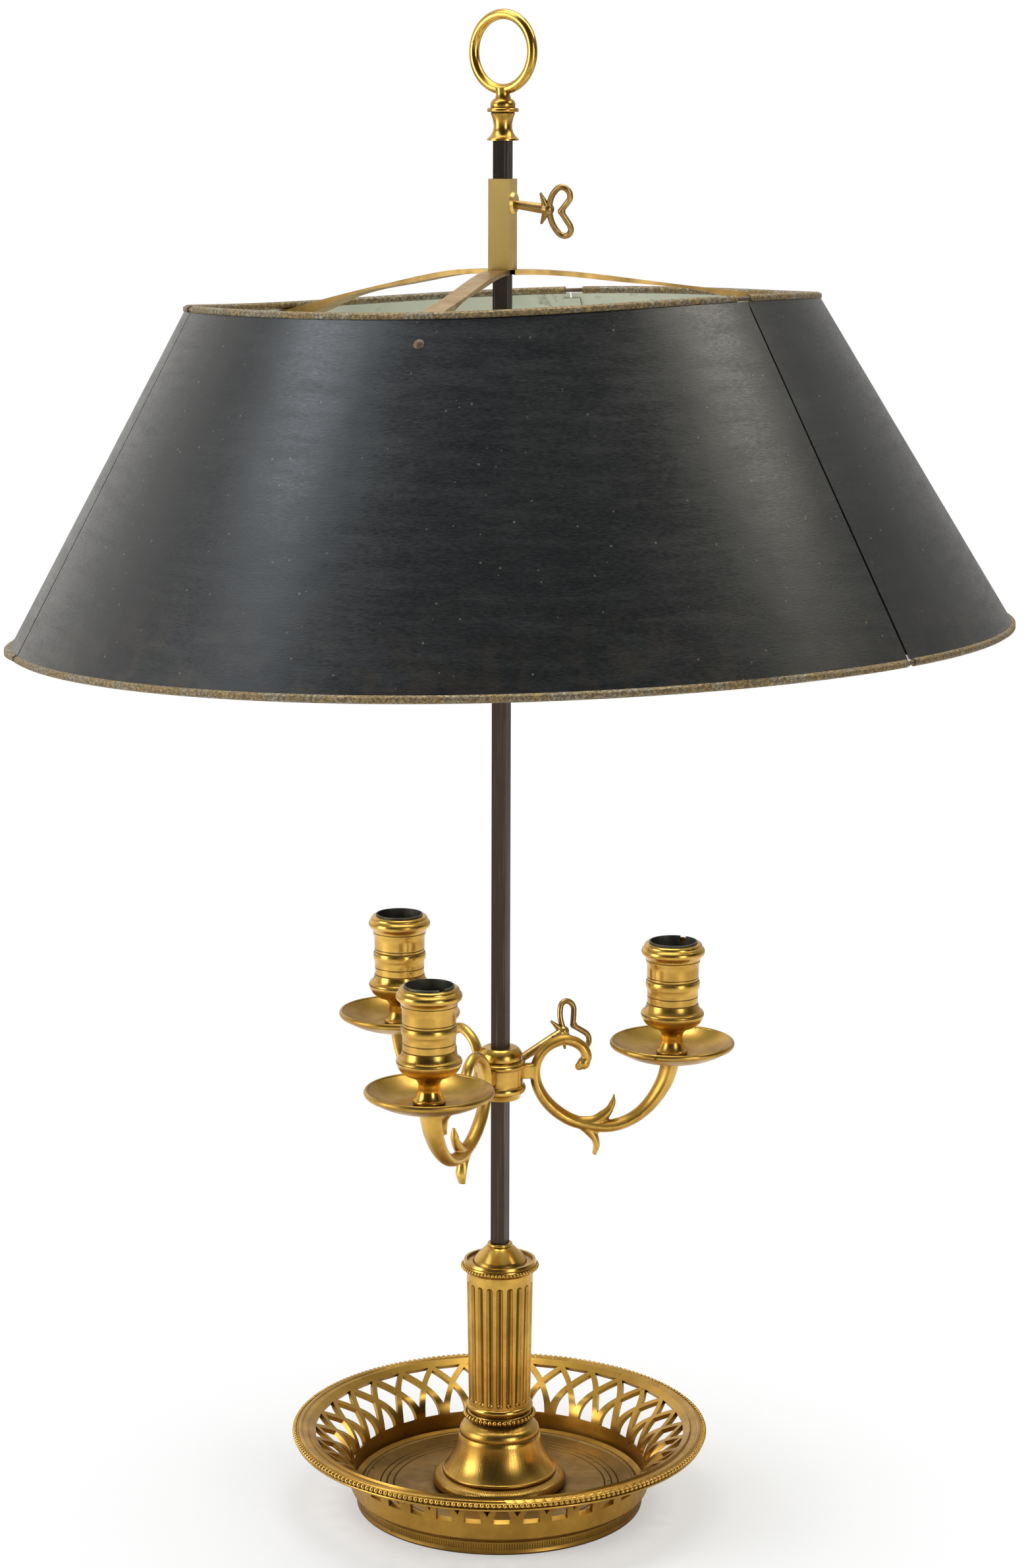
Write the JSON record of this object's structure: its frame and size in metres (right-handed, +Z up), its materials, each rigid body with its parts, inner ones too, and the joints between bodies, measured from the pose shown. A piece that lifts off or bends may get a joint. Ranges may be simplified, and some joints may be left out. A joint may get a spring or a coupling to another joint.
{
  "type": "table_lamp",
  "caption": "Brass bouillotte candle lamp: a painted tin shade and scrolled candle arms that slide on a square iron rod, clamped by heart-handled keys, over a pierced gallery foot",
  "frame": {"origin": "On the square rod's axis, at the level of the table under the foot band", "axes": "+Z up along the rod, -Y towards the front, where the picture is taken from, +X to the right as seen from there"},
  "size_m": [0.4568, 0.4566, 0.7],
  "materials": {
    "gilt_brass": "polished and lacquered, brown patina in the hollows",
    "floor_brass": "dull olive-brown brass sheet with soft reflections",
    "brown_brass": "browned, handled brass",
    "rod_iron": "dark brown-black iron with light scratches",
    "shade_tole": "near-black satin paint outside, pale cream-green inside",
    "worn_rim": "worn silvered and gilt rolled edge",
    "tinned_liner": "dark tinned sheet",
    "plain_steel": "dull, slightly rusted steel"
  },
  "bodies": {
    "stand": {"foot_band": "gilt_brass", "gallery": "gilt_brass", "gallery_rim": "gilt_brass", "floor_plate": "floor_brass", "milled_ring": "gilt_brass", "bell_foot": "gilt_brass", "column_collar": "gilt_brass", "column_shaft": "gilt_brass", "column_cap": "gilt_brass", "rod": "rod_iron", "tail_washer": "plain_steel", "tail_nut": "plain_steel", "top_ring_finial": "gilt_brass"},
    "shade": {"shade_sleeve": "gilt_brass", "sleeve_boss": "gilt_brass", "shade_rivets": "plain_steel", "seam_pins": "plain_steel", "spider_arm_front": "brown_brass", "spider_arm_left": "brown_brass", "spider_arm_right": "brown_brass", "shade_panel_front": "shade_tole", "shade_panel_left": "shade_tole", "shade_panel_right": "shade_tole", "top_rim_front": "worn_rim", "top_rim_left": "worn_rim", "top_rim_right": "worn_rim", "bottom_rim_front": "worn_rim", "bottom_rim_left": "worn_rim", "bottom_rim_right": "worn_rim"},
    "shade_key": {"shade_key": "brown_brass"},
    "candle_arms": {"arm_collar": "gilt_brass", "candle_arm_front": "gilt_brass", "candle_arm_right": "gilt_brass", "candle_arm_back": "gilt_brass", "drip_pan_front": "gilt_brass", "drip_pan_right": "gilt_brass", "drip_pan_back": "gilt_brass", "nozzle_front": "gilt_brass", "nozzle_right": "gilt_brass", "nozzle_back": "gilt_brass", "nozzle_liner_front": "tinned_liner", "nozzle_liner_right": "tinned_liner", "nozzle_liner_back": "tinned_liner"},
    "arm_key": {"arm_key": "brown_brass"}
  },
  "joints": [
    {"name": "shade_slide", "type": "slide", "parent": "stand", "child": "shade", "axis": [0, 0, 1], "range_m": [-0.2, 0.016]},
    {"name": "arms_slide", "type": "slide", "parent": "stand", "child": "candle_arms", "axis": [0, 0, 1], "range_m": [-0.07, 0.08]},
    {"name": "shade_key_turn", "type": "hinge", "parent": "shade", "child": "shade_key", "pos_m": [0.02097, -0.00763, 0.61234], "axis": [0.9321, -0.3392, -0.1271], "range_deg": [0, 270]},
    {"name": "arm_key_turn", "type": "hinge", "parent": "candle_arms", "child": "arm_key", "pos_m": [0.03042, 0.0213, 0.22653], "axis": [0.7642, 0.5351, 0.36], "range_deg": [0, 270]}
  ]
}
